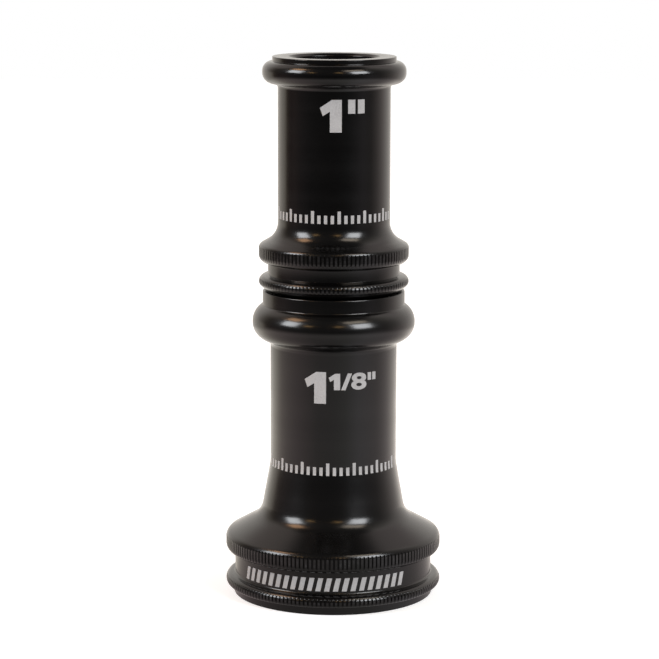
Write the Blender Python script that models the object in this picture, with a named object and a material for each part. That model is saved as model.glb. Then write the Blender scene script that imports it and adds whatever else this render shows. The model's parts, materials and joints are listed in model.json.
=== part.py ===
"""Stacked pair of smooth-bore fire nozzle tips, in metres, with +Z along the waterway.

The lower tip has a 1 1/8 inch orifice. Its base screws onto the outlet of a hose valve, and its
outlet ends in a short threaded spigot. The upper tip has a 1 inch orifice and screws onto the
spigot. A flat rubber gasket seals each of the two screwed joints.
"""
import math

import bmesh
import bpy

INCH = 0.0254
MM = 0.001

# How finely round shapes are divided.
COLUMNS = 48
ARC_STEP = math.radians(30)

# Heights of the whole stack, from the face that the lower tip stands on.
TOTAL_HEIGHT = 6.25 * INCH
SHOULDER_HEIGHT = 90.4 * MM
SHOULDER_GAP = 0.3 * MM
SEAT_GAP = 0.3 * MM

# Orifices: the mouth of the upper tip is opened out by a small chamfer.
LOWER_ORIFICE = 1.125 * INCH / 2
UPPER_ORIFICE = 1.0 * INCH / 2
MOUTH_CHAMFER = 0.7 * MM

# Threads, all right-handed with 60 degree flanks. "ridge" is the radius of the thread's crest
# and "groove" the radius of its root.
FLANK_ANGLE = math.radians(30)
THREAD_FADE = 0.3
INLET_PITCH = 1.0 * INCH / 9
INLET_TURNS = 3
INLET_RIDGE = 23.6 * MM
INLET_GROOVE = 25.45 * MM
INLET_CREST_FLAT = 0.35 * MM
JOINT_PITCH = 1.0 * INCH / 12
JOINT_CREST_FLAT = 0.36 * MM
SPIGOT_TURNS = 4
SPIGOT_RIDGE = 17.38 * MM
SPIGOT_GROOVE = 16.15 * MM
SOCKET_TURNS = 3
SOCKET_RIDGE = 16.45 * MM
SOCKET_GROOVE = 17.6 * MM

# Base of the lower tip: two raised rings with a waist between them. Each side of a ring is given
# as the radius of its own round, the radius of the cove at its neck, and the angle from the axis
# of the straight flank that joins the two.
BASE_CROWN = 1.25 * INCH
BASE_WAIST = 29.05 * MM
BASE_LIP = 29.45 * MM
BASE_LIP_CHAMFER = 0.35 * MM
BASE_RING_BOTTOM = 3.95 * MM
BASE_RING_TOP = 4.0 * MM
BASE_BAND_BOTTOM = 14.85 * MM
BASE_BAND_TOP = 18.05 * MM
BASE_RING_UNDER = (1.6 * MM, 0.2 * MM, math.radians(90))
BASE_RING_OVER = (1.9 * MM, 0.6 * MM, math.radians(80))
BASE_BAND_UNDER = (2.3 * MM, 0.35 * MM, math.radians(90))

# Barrel of the lower tip: a flare, a slightly conical foot, a straight tube and a round bulge.
BARREL_RADIUS = 18.57 * MM
FLARE_EDGE_ROUND = 2.4 * MM
FLARE_TOE_RADIUS = 21.35 * MM
FLARE_TOE_HEIGHT = 23.85 * MM
FLARE_COVE = 6.5 * MM
FOOT_TOP_HEIGHT = 39.35 * MM
FOOT_BLEND = 12.0 * MM
BULGE_CROWN = 23.83 * MM
BULGE_BOTTOM = 81.0 * MM
BULGE_TOP = 81.4 * MM
BULGE_UNDER = (5.3 * MM, 1.9 * MM, math.radians(70))
BULGE_OVER = (5.6 * MM, 0.4 * MM, math.radians(58))
SHOULDER_RADIUS = 20.83 * MM
SHOULDER_CHAMFER = 0.35 * MM
SPIGOT_END_CHAMFER = 0.5 * MM

# Waterway of the lower tip, below its orifice.
GASKET_RECESS_RADIUS = 26.45 * MM
GASKET_RECESS_BOTTOM = 12.7 * MM
GASKET_RECESS_TOP = 16.5 * MM
INTAKE_RADIUS = 19.9 * MM
THROAT_RADIUS = 17.0 * MM
THROAT_HEIGHT = 27.5 * MM
LOWER_STRAIGHT_HEIGHT = 76.0 * MM
INLET_MOUTH_CHAMFER = 0.6 * MM

# Upper tip, in heights above its own bottom face.
UPPER_LENGTH = TOTAL_HEIGHT - SHOULDER_HEIGHT - SHOULDER_GAP
TIP_CROWN = 21.95 * MM
TIP_WAIST = 19.32 * MM
TIP_FOOT = 20.05 * MM
TIP_FOOT_ROUND = 0.15 * MM
TIP_RING_CORNER = 1.9 * MM
TIP_RING_ROUND = 1.3 * MM
TIP_RING_TOP = 2.5 * MM
TIP_BAND_BOTTOM = 10.4 * MM
TIP_BAND_TOP = 13.2 * MM
TIP_RING_OVER = (1.8 * MM, 0.05 * MM, math.radians(72))
TIP_BAND_UNDER = (2.4 * MM, 0.2 * MM, math.radians(90))
TIP_BARREL_RADIUS = 16.37 * MM
TIP_BAND_ROUND = 1.4 * MM
TIP_FLARE_TOE_HEIGHT = 16.4 * MM
TIP_FLARE_COVE = 6.0 * MM
BEAD_CROWN = 20.9 * MM
BEAD_BOTTOM = 63.35 * MM
BEAD_TOP = 63.9 * MM
BEAD_UNDER = (3.15 * MM, 1.3 * MM, math.radians(90))
BEAD_OVER = (2.8 * MM, 0.1 * MM, math.radians(80))
LIP_RADIUS = 18.0 * MM
LIP_CHAMFER = 0.2 * MM
SOCKET_MOUTH_CHAMFER = 0.4 * MM
SOCKET_DEPTH = 13.7 * MM
UPPER_STRAIGHT_HEIGHT = 40.0 * MM

# Gaskets.
INLET_GASKET_OUTER = 26.1 * MM
INLET_GASKET_INNER = 20.0 * MM
INLET_GASKET_THICKNESS = 3.2 * MM
TIP_GASKET_OUTER = 17.25 * MM
TIP_GASKET_INNER = 14.5 * MM
TIP_GASKET_THICKNESS = 2.4 * MM
GASKET_EDGE = 0.25 * MM


def arc(centre_r, centre_z, radius, start, end):
    """Points of an arc in the outline's plane, both ends included; angles in radians."""
    steps = max(1, math.ceil(abs(end - start) / ARC_STEP))
    angles = [start + (end - start) * step / steps for step in range(steps + 1)]
    return [(centre_r + radius * math.cos(a), centre_z + radius * math.sin(a)) for a in angles]


def ring_rise(neck, crown, height, side):
    """Underside of a raised ring: a cove off the neck, a straight flank, then the ring's round.

    Each arc is tangent to the flank, the cove also to the neck and the round, at `height`, to
    the crown.
    """
    bulge, cove, flank = side
    flank_drop = crown - neck - (bulge + cove) * (1 - math.cos(flank))
    fall = (bulge + cove) * math.sin(flank) + flank_drop / math.tan(flank)
    hollow = arc(neck + cove, height - fall, cove, math.pi, math.pi - flank)
    shoulder = arc(crown - bulge, height, bulge, -flank, 0.0)
    return hollow + shoulder


def ring_fall(neck, crown, height, side):
    """Upper side of a raised ring, from its crown at `height` up to the neck."""
    rise = ring_rise(neck, crown, height, side)
    return [(r, 2 * height - z) for r, z in reversed(rise)]


def rounded_corner(before, corner, after, radius):
    """Arc of the given radius that rounds off a corner between two straight lines."""
    arms = []
    for point in (before, after):
        reach = math.dist(point, corner)
        arms.append(((point[0] - corner[0]) / reach, (point[1] - corner[1]) / reach))
    opening = math.acos(arms[0][0] * arms[1][0] + arms[0][1] * arms[1][1])
    back = radius / math.tan(opening / 2)
    middle = ((arms[0][0] + arms[1][0]) / 2, (arms[0][1] + arms[1][1]) / 2)
    scale = radius / math.sin(opening / 2) / math.hypot(*middle)
    centre = (corner[0] + middle[0] * scale, corner[1] + middle[1] * scale)
    start = (corner[0] + arms[0][0] * back, corner[1] + arms[0][1] * back)
    end = (corner[0] + arms[1][0] * back, corner[1] + arms[1][1] * back)
    start_angle = math.atan2(start[1] - centre[1], start[0] - centre[0])
    end_angle = math.atan2(end[1] - centre[1], end[0] - centre[0])
    sweep = math.remainder(end_angle - start_angle, 2 * math.pi)
    return arc(centre[0], centre[1], radius, start_angle, start_angle + sweep)


def vertex(bm, radius, height, column):
    """One vertex on a given column of facets round the axis."""
    angle = 2 * math.pi * column / COLUMNS
    return bm.verts.new((radius * math.cos(angle), radius * math.sin(angle), height))


def full_ring(bm, radius, height):
    """A full circle of vertices at one height."""
    return [vertex(bm, radius, height, column) for column in range(COLUMNS)]


def skin(bm, first, second):
    """Faces between two circles of vertices."""
    for column in range(COLUMNS):
        after = (column + 1) % COLUMNS
        bm.faces.new((first[column], first[after], second[after], second[column]))


def turned(bm, outline):
    """Surface turned from an outline of (radius, height); returns its two end circles."""
    circles = [full_ring(bm, radius, height) for radius, height in outline]
    for first, second in zip(circles, circles[1:]):
        skin(bm, first, second)
    return circles[0], circles[-1]


def flank_run(groove, ridge):
    """Axial length of one thread flank."""
    return abs(ridge - groove) * math.tan(FLANK_ANGLE)


def ridge_middle(groove, ridge, crest_flat):
    """Height of a ridge's middle above the point where its first flank starts."""
    return flank_run(groove, ridge) + crest_flat / 2


def fan(bm, apex, rim):
    """Triangles from one vertex to each step along a line of vertices."""
    for first, second in zip(rim, rim[1:]):
        bm.faces.new((apex, first, second))


def threaded(bm, groove, ridge, foot, turns, pitch, crest_flat):
    """Cylinder of radius `groove` with a helical ridge; returns its bottom and top circles.

    Four rows of vertices follow the helix on each turn, so the rows of the last column meet
    the rows one turn further on in the first column. The ridge grows out of the cylinder at
    one end and fades back into it at the other.
    """
    flank = flank_run(groove, ridge)
    marks = (0.0, flank, flank + crest_flat, 2 * flank + crest_flat)
    rows = len(marks)

    def helix_vertex(turn, mark, column):
        along = turn + column / COLUMNS
        growth = max(0.0, min(1.0, along / THREAD_FADE, (turns - along) / THREAD_FADE))
        radius = groove + (ridge - groove) * growth if mark in (1, 2) else groove
        return vertex(bm, radius, foot + pitch * along + marks[mark], column)

    first = [helix_vertex(turn, mark, 0) for turn in range(turns + 1) for mark in range(rows)]
    helix = [first]
    for column in range(1, COLUMNS):
        strip = [helix_vertex(turn, mark, column) for turn in range(turns) for mark in range(rows)]
        strip.append(helix_vertex(turns, 0, column))
        helix.append(strip)
    bottom = [first[0]] + [vertex(bm, groove, foot, column) for column in range(1, COLUMNS)]
    top = full_ring(bm, groove, foot + pitch * (turns + 1))
    first.append(top[0])

    last = COLUMNS - 1
    for column in range(COLUMNS):
        here = helix[column]
        there = helix[(column + 1) % COLUMNS]
        shift = rows if column == last else 0
        for row in range(rows * turns):
            bm.faces.new((here[row], there[row + shift], there[row + shift + 1], here[row + 1]))

    bm.faces.new((bottom[0], bottom[1], helix[1][0]))
    for column in range(1, last):
        after = column + 1
        bm.faces.new((bottom[column], bottom[after], helix[after][0], helix[column][0]))
        bm.faces.new((helix[column][-1], helix[after][-1], top[after], top[column]))
    bm.faces.new((helix[last][-1], top[0], top[last]))
    fan(bm, bottom[last], first[:rows + 1] + [helix[last][0]])
    fan(bm, top[1], [helix[1][-1]] + first[rows * turns:])
    return bottom, top


def close_section(bm, pieces):
    """Join each piece's end circle to the next piece's start circle, all the way round."""
    for (_, end), (start, _) in zip(pieces, pieces[1:] + pieces[:1]):
        skin(bm, end, start)
    bmesh.ops.recalc_face_normals(bm, faces=bm.faces)


def lower_tip_outside():
    """Outline of the lower tip from its bottom face up to the edge of its shoulder."""
    band_edge = (BASE_CROWN, BASE_BAND_TOP)
    toe = (FLARE_TOE_RADIUS, FLARE_TOE_HEIGHT)
    foot_top = (BARREL_RADIUS, FOOT_TOP_HEIGHT)
    below_bulge = (BARREL_RADIUS, BULGE_BOTTOM)
    points = [(BASE_LIP - BASE_LIP_CHAMFER, 0.0), (BASE_LIP, BASE_LIP_CHAMFER)]
    points += ring_rise(BASE_LIP, BASE_CROWN, BASE_RING_BOTTOM, BASE_RING_UNDER)
    points += ring_fall(BASE_WAIST, BASE_CROWN, BASE_RING_TOP, BASE_RING_OVER)
    points += ring_rise(BASE_WAIST, BASE_CROWN, BASE_BAND_BOTTOM, BASE_BAND_UNDER)
    points += rounded_corner((BASE_CROWN, 0.0), band_edge, toe, FLARE_EDGE_ROUND)
    points += rounded_corner(band_edge, toe, foot_top, FLARE_COVE)
    points += rounded_corner(toe, foot_top, below_bulge, FOOT_BLEND)
    points += ring_rise(BARREL_RADIUS, BULGE_CROWN, BULGE_BOTTOM, BULGE_UNDER)
    points += ring_fall(SHOULDER_RADIUS, BULGE_CROWN, BULGE_TOP, BULGE_OVER)
    points.append((SHOULDER_RADIUS, SHOULDER_HEIGHT - SHOULDER_CHAMFER))
    points.append((SHOULDER_RADIUS - SHOULDER_CHAMFER, SHOULDER_HEIGHT))
    return points


def lower_tip_waterway(spigot_top):
    """Outline from the end of the spigot down through the waterway to the gasket recess."""
    end = spigot_top + SPIGOT_END_CHAMFER
    return [
        (SPIGOT_GROOVE - SPIGOT_END_CHAMFER, end),
        (LOWER_ORIFICE, end),
        (LOWER_ORIFICE, LOWER_STRAIGHT_HEIGHT),
        (THROAT_RADIUS, THROAT_HEIGHT),
        (INTAKE_RADIUS, GASKET_RECESS_TOP),
        (GASKET_RECESS_RADIUS, GASKET_RECESS_TOP),
        (GASKET_RECESS_RADIUS, GASKET_RECESS_BOTTOM),
    ]


def spigot_end_height():
    """Height of the spigot's end face."""
    return SHOULDER_HEIGHT + JOINT_PITCH * (SPIGOT_TURNS + 1) + SPIGOT_END_CHAMFER


def lower_tip_mesh():
    """Base, flare, barrel, bulge and spigot of the lower tip as one turned body."""
    bm = bmesh.new()
    outside = turned(bm, lower_tip_outside())
    spigot = threaded(bm, SPIGOT_GROOVE, SPIGOT_RIDGE, SHOULDER_HEIGHT,
                      SPIGOT_TURNS, JOINT_PITCH, JOINT_CREST_FLAT)
    waterway = turned(bm, lower_tip_waterway(spigot_end_height() - SPIGOT_END_CHAMFER))
    foot = GASKET_RECESS_BOTTOM - INLET_PITCH * (INLET_TURNS + 1)
    inlet = threaded(bm, INLET_GROOVE, INLET_RIDGE, foot,
                     INLET_TURNS, INLET_PITCH, INLET_CREST_FLAT)
    mouth = turned(bm, [(INLET_GROOVE, INLET_MOUTH_CHAMFER),
                        (INLET_GROOVE + INLET_MOUTH_CHAMFER, 0.0)])
    close_section(bm, [outside, spigot, waterway, inlet[::-1], mouth])
    return bm


def upper_tip_outside():
    """Outline of the upper tip from its bottom face up to its mouth."""
    foot = (TIP_FOOT, 0.0)
    ring_corner = (TIP_CROWN, TIP_RING_CORNER)
    band_edge = (TIP_CROWN, TIP_BAND_TOP)
    toe = (TIP_BARREL_RADIUS, TIP_FLARE_TOE_HEIGHT)
    points = rounded_corner((0.0, 0.0), foot, ring_corner, TIP_FOOT_ROUND)
    points += rounded_corner(foot, ring_corner, band_edge, TIP_RING_ROUND)
    points += ring_fall(TIP_WAIST, TIP_CROWN, TIP_RING_TOP, TIP_RING_OVER)
    points += ring_rise(TIP_WAIST, TIP_CROWN, TIP_BAND_BOTTOM, TIP_BAND_UNDER)
    points += rounded_corner((TIP_CROWN, 0.0), band_edge, toe, TIP_BAND_ROUND)
    points += rounded_corner(band_edge, toe, (TIP_BARREL_RADIUS, BEAD_BOTTOM), TIP_FLARE_COVE)
    points += ring_rise(TIP_BARREL_RADIUS, BEAD_CROWN, BEAD_BOTTOM, BEAD_UNDER)
    points += ring_fall(LIP_RADIUS, BEAD_CROWN, BEAD_TOP, BEAD_OVER)
    points.append((LIP_RADIUS, UPPER_LENGTH - LIP_CHAMFER))
    points.append((LIP_RADIUS - LIP_CHAMFER, UPPER_LENGTH))
    return points


def upper_tip_waterway():
    """Outline from the mouth down through the waterway to the top of the socket's thread."""
    return [
        (UPPER_ORIFICE + MOUTH_CHAMFER, UPPER_LENGTH),
        (UPPER_ORIFICE, UPPER_LENGTH - MOUTH_CHAMFER),
        (UPPER_ORIFICE, UPPER_STRAIGHT_HEIGHT),
        (LOWER_ORIFICE, SOCKET_DEPTH),
        (SOCKET_GROOVE, SOCKET_DEPTH),
    ]


def upper_tip_mesh():
    """Rings, barrel and bead of the upper tip as one turned body, open at both ends."""
    bm = bmesh.new()
    spigot_middle = ridge_middle(SPIGOT_GROOVE, SPIGOT_RIDGE, JOINT_CREST_FLAT)
    socket_middle = ridge_middle(SOCKET_GROOVE, SOCKET_RIDGE, JOINT_CREST_FLAT)
    foot = JOINT_PITCH / 2 + spigot_middle - socket_middle - SHOULDER_GAP
    outside = turned(bm, upper_tip_outside())
    waterway = turned(bm, upper_tip_waterway())
    socket = threaded(bm, SOCKET_GROOVE, SOCKET_RIDGE, foot,
                      SOCKET_TURNS, JOINT_PITCH, JOINT_CREST_FLAT)
    mouth = turned(bm, [(SOCKET_GROOVE, SOCKET_MOUTH_CHAMFER),
                        (SOCKET_GROOVE + SOCKET_MOUTH_CHAMFER, 0.0)])
    close_section(bm, [outside, waterway, socket[::-1], mouth])
    return bm


def gasket_mesh(inner, outer, thickness):
    """Flat rubber washer with eased edges, standing on its own origin."""
    bm = bmesh.new()
    edge = GASKET_EDGE
    outline = [
        (inner + edge, 0.0), (outer - edge, 0.0), (outer, edge), (outer, thickness - edge),
        (outer - edge, thickness), (inner + edge, thickness), (inner, thickness - edge),
        (inner, edge),
    ]
    close_section(bm, [turned(bm, outline)])
    return bm


def material(name, colour, roughness, metallic):
    """Principled material of one plain colour."""
    result = bpy.data.materials.new(name)
    result.use_nodes = True
    result.diffuse_color = (*colour, 1.0)
    shader = result.node_tree.nodes["Principled BSDF"]
    shader.inputs["Base Color"].default_value = (*colour, 1.0)
    shader.inputs["Roughness"].default_value = roughness
    shader.inputs["Metallic"].default_value = metallic
    return result


def place(name, bm, finish, height, parent=None):
    """Make an object on the axis at a height above its parent, smooth except at real edges."""
    mesh = bpy.data.meshes.new(name)
    bm.to_mesh(mesh)
    bm.free()
    mesh.shade_smooth()
    mesh.set_sharp_from_angle(angle=math.radians(35))
    mesh.materials.append(finish)
    result = bpy.data.objects.new(name, mesh)
    bpy.context.scene.collection.objects.link(result)
    result.location = (0.0, 0.0, height)
    result.parent = parent
    return result


def main():
    for old in list(bpy.data.objects):
        bpy.data.objects.remove(old, do_unlink=True)

    lower_finish = material("anodised_lower", (0.022, 0.020, 0.020), 0.36, 0.6)
    upper_finish = material("anodised_upper", (0.012, 0.012, 0.012), 0.30, 0.6)
    inlet_rubber = material("inlet_rubber", (0.025, 0.025, 0.026), 0.75, 0.0)
    joint_rubber = material("joint_rubber", (0.030, 0.030, 0.030), 0.75, 0.0)

    joint_axis = bpy.data.objects.new("tip_joint_axis", None)
    bpy.context.scene.collection.objects.link(joint_axis)
    joint_axis.location = (0.0, 0.0, SHOULDER_HEIGHT)

    place("lower_tip_body", lower_tip_mesh(), lower_finish, 0.0)
    inlet_gasket = gasket_mesh(INLET_GASKET_INNER, INLET_GASKET_OUTER, INLET_GASKET_THICKNESS)
    inlet_gasket_height = GASKET_RECESS_TOP - SEAT_GAP - INLET_GASKET_THICKNESS
    place("inlet_gasket", inlet_gasket, inlet_rubber, inlet_gasket_height)

    place("upper_tip_body", upper_tip_mesh(), upper_finish, SHOULDER_GAP, joint_axis)
    tip_gasket = gasket_mesh(TIP_GASKET_INNER, TIP_GASKET_OUTER, TIP_GASKET_THICKNESS)
    tip_gasket_height = SHOULDER_GAP + SOCKET_DEPTH - SEAT_GAP - TIP_GASKET_THICKNESS
    place("tip_joint_gasket", tip_gasket, joint_rubber, tip_gasket_height, joint_axis)


main()
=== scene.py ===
"""Looks of a stacked pair of smooth-bore fire nozzle tips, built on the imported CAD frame.

Both tips are rebuilt in full with their knurled gripping rings, eased edges and threads, and the
orifice sizes are printed on their barrels. Lengths are in metres, angles in radians unless a name
says degrees, and +Z runs along the waterway. Directions round the axis are counted from the front
of the object, which is -Y, and are positive towards +X.
"""

import json
import math

import bmesh
import bpy
from mathutils import Matrix, Vector


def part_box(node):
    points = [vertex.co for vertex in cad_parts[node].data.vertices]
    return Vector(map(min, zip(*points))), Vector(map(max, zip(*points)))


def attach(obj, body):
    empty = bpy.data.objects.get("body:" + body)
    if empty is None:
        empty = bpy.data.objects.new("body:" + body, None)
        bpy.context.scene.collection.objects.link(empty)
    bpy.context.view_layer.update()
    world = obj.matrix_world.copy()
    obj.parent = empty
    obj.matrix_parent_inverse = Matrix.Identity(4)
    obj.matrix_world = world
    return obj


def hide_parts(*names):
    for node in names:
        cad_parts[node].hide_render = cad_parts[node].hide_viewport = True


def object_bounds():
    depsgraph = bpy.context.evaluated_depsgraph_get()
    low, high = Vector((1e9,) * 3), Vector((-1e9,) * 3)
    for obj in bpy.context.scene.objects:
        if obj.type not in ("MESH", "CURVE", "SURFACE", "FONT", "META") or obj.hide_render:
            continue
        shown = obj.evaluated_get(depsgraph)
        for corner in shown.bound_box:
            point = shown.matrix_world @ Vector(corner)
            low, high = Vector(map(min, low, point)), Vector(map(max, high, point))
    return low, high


INCH = 0.0254
MM = 0.001

# How finely round shapes are divided: small rounds get fewer steps, by length.
ARC_STEP = math.radians(7.0)
WIDEST_STEP = math.radians(15.0)
ARC_CHORD = 0.15 * MM
SHARP_ANGLE = math.radians(34)
KNURL_ROW = 0.25 * MM
KNURL_RUNOUT = 0.35 * MM

# One knurl tooth, in parts of its pitch: a wide crest with eased edges and a narrow groove.
# A plain row of vertices has two to a tooth, a knurled row has six.
PLAIN_PHASES = (-0.30, 0.30)
TOOTH_PHASES = (-0.30, -0.16, 0.16, 0.30, 0.46, 0.54)
TOOTH_DEPTHS = (0.08, 0.0, 0.0, 0.08, 1.0, 1.0)

# Threads, all right-handed with 60 degree flanks.
FLANK_ANGLE = math.radians(30)
THREAD_FADE = 0.3
INLET_PITCH = 1.0 * INCH / 9
INLET_TURNS = 3
INLET_RIDGE = 23.6 * MM
INLET_GROOVE = 25.45 * MM
INLET_CREST_FLAT = 0.35 * MM
JOINT_PITCH = 1.0 * INCH / 12
JOINT_CREST_FLAT = 0.36 * MM
SPIGOT_TURNS = 4
SPIGOT_RIDGE = 17.38 * MM
SPIGOT_GROOVE = 16.15 * MM
SPIGOT_END_CHAMFER = 0.5 * MM
SOCKET_TURNS = 3
SOCKET_RIDGE = 16.45 * MM
SOCKET_GROOVE = 17.6 * MM

# Base of the lower tip, heights above its bottom face. Each side of a ring is the radius of its
# own round, the radius of the cove at its neck, and the angle from the axis of the flank between.
BASE_TEETH = 159
BASE_TOOTH_DEPTH = 0.40 * MM
BASE_WAIST = 29.05 * MM
BASE_LIP = 29.45 * MM
BASE_LIP_ROUND = 0.35 * MM
BASE_RING_BOTTOM = 3.95 * MM
BASE_RING_TOP = 4.0 * MM
BASE_BAND_BOTTOM = 14.85 * MM
BASE_BAND_TOP = 18.05 * MM
BASE_RING_KNURL_TOP = 5.9 * MM
BASE_BAND_KNURL_TOP = 17.75 * MM
BASE_RING_UNDER = (1.6 * MM, 0.2 * MM, math.radians(90))
BASE_RING_OVER = (1.9 * MM, 0.6 * MM, math.radians(80))
BASE_BAND_UNDER = (2.3 * MM, 0.35 * MM, math.radians(90))

# Barrel of the lower tip.
BARREL_RADIUS = 18.57 * MM
FLARE_EDGE_ROUND = 2.4 * MM
FLARE_TOE_RADIUS = 21.35 * MM
FLARE_TOE_HEIGHT = 23.85 * MM
FLARE_COVE = 6.5 * MM
FOOT_TOP_HEIGHT = 39.35 * MM
FOOT_BLEND = 12.0 * MM
BULGE_CROWN = 23.83 * MM
BULGE_BOTTOM = 81.0 * MM
BULGE_TOP = 81.4 * MM
BULGE_UNDER = (5.3 * MM, 1.9 * MM, math.radians(70))
BULGE_OVER = (5.6 * MM, 0.4 * MM, math.radians(58))
SHOULDER_RADIUS = 20.83 * MM
SHOULDER_ROUND = 0.35 * MM

# Waterway of the lower tip.
LOWER_ORIFICE = 1.125 * INCH / 2
GASKET_RECESS_RADIUS = 26.45 * MM
GASKET_RECESS_BOTTOM = 12.7 * MM
GASKET_RECESS_TOP = 16.5 * MM
INTAKE_RADIUS = 19.9 * MM
INTAKE_ROUND = 1.0 * MM
THROAT_RADIUS = 17.0 * MM
THROAT_HEIGHT = 27.5 * MM
LOWER_STRAIGHT_HEIGHT = 76.0 * MM
INLET_MOUTH_CHAMFER = 0.6 * MM

# Upper tip, heights above its own bottom face.
TIP_TEETH = 110
TIP_TOOTH_DEPTH = 0.32 * MM
TIP_CROWN = 21.95 * MM
TIP_WAIST = 19.32 * MM
TIP_FOOT = 20.05 * MM
TIP_FOOT_ROUND = 0.15 * MM
TIP_RING_CORNER = 1.9 * MM
TIP_RING_ROUND = 1.3 * MM
TIP_RING_TOP = 2.5 * MM
TIP_BAND_BOTTOM = 10.4 * MM
TIP_BAND_TOP = 13.2 * MM
TIP_RING_KNURL_TOP = 4.1 * MM
TIP_BAND_KNURL_TOP = 13.0 * MM
TIP_RING_OVER = (1.8 * MM, 0.05 * MM, math.radians(72))
TIP_BAND_UNDER = (2.4 * MM, 0.2 * MM, math.radians(90))
TIP_BARREL_RADIUS = 16.37 * MM
TIP_BAND_ROUND = 1.4 * MM
TIP_FLARE_TOE_HEIGHT = 16.4 * MM
TIP_FLARE_COVE = 6.0 * MM
BEAD_CROWN = 20.9 * MM
BEAD_BOTTOM = 63.35 * MM
BEAD_TOP = 63.9 * MM
BEAD_UNDER = (3.15 * MM, 1.3 * MM, math.radians(90))
BEAD_OVER = (2.8 * MM, 0.1 * MM, math.radians(80))
LIP_RADIUS = 18.0 * MM
LIP_ROUND = 0.2 * MM
UPPER_ORIFICE = 1.0 * INCH / 2
MOUTH_CHAMFER = 0.7 * MM
MOUTH_ROUND = 0.25 * MM
SOCKET_MOUTH_CHAMFER = 0.4 * MM
SOCKET_DEPTH = 13.7 * MM
UPPER_STRAIGHT_HEIGHT = 40.0 * MM

# Gaskets.
INLET_GASKET_INNER = 20.0 * MM
TIP_GASKET_INNER = 14.5 * MM
GASKET_EDGE = 0.3 * MM
GASKET_COLUMNS = 180

# Printed marks: how far they stand on the surface, how deep they are rooted in it, and the size
# of the pieces that they are cut into to follow it.
PRINT_LIFT = 0.03 * MM
PRINT_ROOT = 0.02 * MM
PRINT_STRIP = 0.45 * MM
PRINT_WELD = 0.001 * MM

# Boxes of the printed figures: left and right along the surface, bottom and top on the object.
UPPER_ONE = (-4.15 * MM, 2.15 * MM, 138.15 * MM, 147.45 * MM)
UPPER_INCH_SIGN = (3.97 * MM, 9.07 * MM, 143.45 * MM, 147.45 * MM)
LOWER_ONE = (-8.6 * MM, -2.15 * MM, 59.95 * MM, 69.25 * MM)
SMALL_ONE = (-1.4 * MM, 1.92 * MM, 64.0 * MM, 68.8 * MM)
FRACTION_BAR = (2.2 * MM, 3.48 * MM, 63.95 * MM, 68.8 * MM)
FRACTION_SLANT = 1.94 * MM
SMALL_EIGHT = (5.2 * MM, 10.0 * MM, 63.9 * MM, 68.9 * MM)
SMALL_EIGHT_WEIGHT = 0.03
LOWER_INCH_SIGN = (10.4 * MM, 13.2 * MM, 66.5 * MM, 68.75 * MM)

# Printed scales on the barrels (start, end and foot), and the slanted bars on the base's waist.
UPPER_SCALE = (-21.9 * MM, 20.1 * MM, 111.9 * MM)
LOWER_SCALE = (-25.0 * MM, 22.4 * MM, 38.7 * MM)
STROKE_PITCH = 1.95 * MM
STROKE_WIDTH = 0.95 * MM
SHORT_STROKE = 2.4 * MM
LONG_STROKE = 3.65 * MM
STROKES_IN_GROUP = 4
BARS_START = -30.6 * MM
BARS_END = 20.4 * MM
BAR_PITCH = 2.55 * MM
BAR_WIDTH = 1.45 * MM
BARS_LOW = 7.0 * MM
BARS_HIGH = 10.9 * MM
BAR_SLANT = 0.9 * MM

# Finishes: colours, roughness, and how often the noise in them changes, per metre.
LOWER_FILM = (0.0011, 0.0010, 0.0010)
LOWER_ROUGHNESS = 0.20
UPPER_FILM = (0.0010, 0.0009, 0.0009)
UPPER_ROUGHNESS = 0.19
FILM_REFRACTION = 1.55
RUBBED_METAL = (0.03, 0.030, 0.032)
TOOL_MARKS = 2600.0
TURNED_BANDS = 190.0
FILM_BLOTCHES = 70.0
FILM_GRAIN = 2400.0
FILM_SCUFFS = 420.0
INLET_RUBBER = 0.020
JOINT_RUBBER = 0.026
RUBBER_BLOOM = 260.0
RUBBER_GRAIN = 3600.0
PRINT_TONE = 0.54
PRINT_SPECKLE = 2600.0
PRINT_PATCHES = 240.0


def arc(centre_r, centre_z, radius, start, end):
    """Points of an arc in the outline's plane, both ends included."""
    sweep = abs(end - start)
    wanted = max(sweep / WIDEST_STEP, sweep * radius / ARC_CHORD)
    steps = max(1, math.ceil(min(sweep / ARC_STEP, wanted)))
    angles = [start + (end - start) * step / steps for step in range(steps + 1)]
    return [(centre_r + radius * math.cos(a), centre_z + radius * math.sin(a)) for a in angles]


def ring_rise(neck, crown, height, side):
    """Underside of a raised ring: a cove off the neck, a straight flank, then the ring's round."""
    bulge, cove, flank = side
    flank_drop = crown - neck - (bulge + cove) * (1 - math.cos(flank))
    fall = (bulge + cove) * math.sin(flank) + flank_drop / math.tan(flank)
    hollow = arc(neck + cove, height - fall, cove, math.pi, math.pi - flank)
    shoulder = arc(crown - bulge, height, bulge, -flank, 0.0)
    return hollow + shoulder


def ring_fall(neck, crown, height, side):
    """Upper side of a raised ring, from its crown at `height` up to the neck."""
    rise = ring_rise(neck, crown, height, side)
    return [(r, 2 * height - z) for r, z in reversed(rise)]


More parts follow.
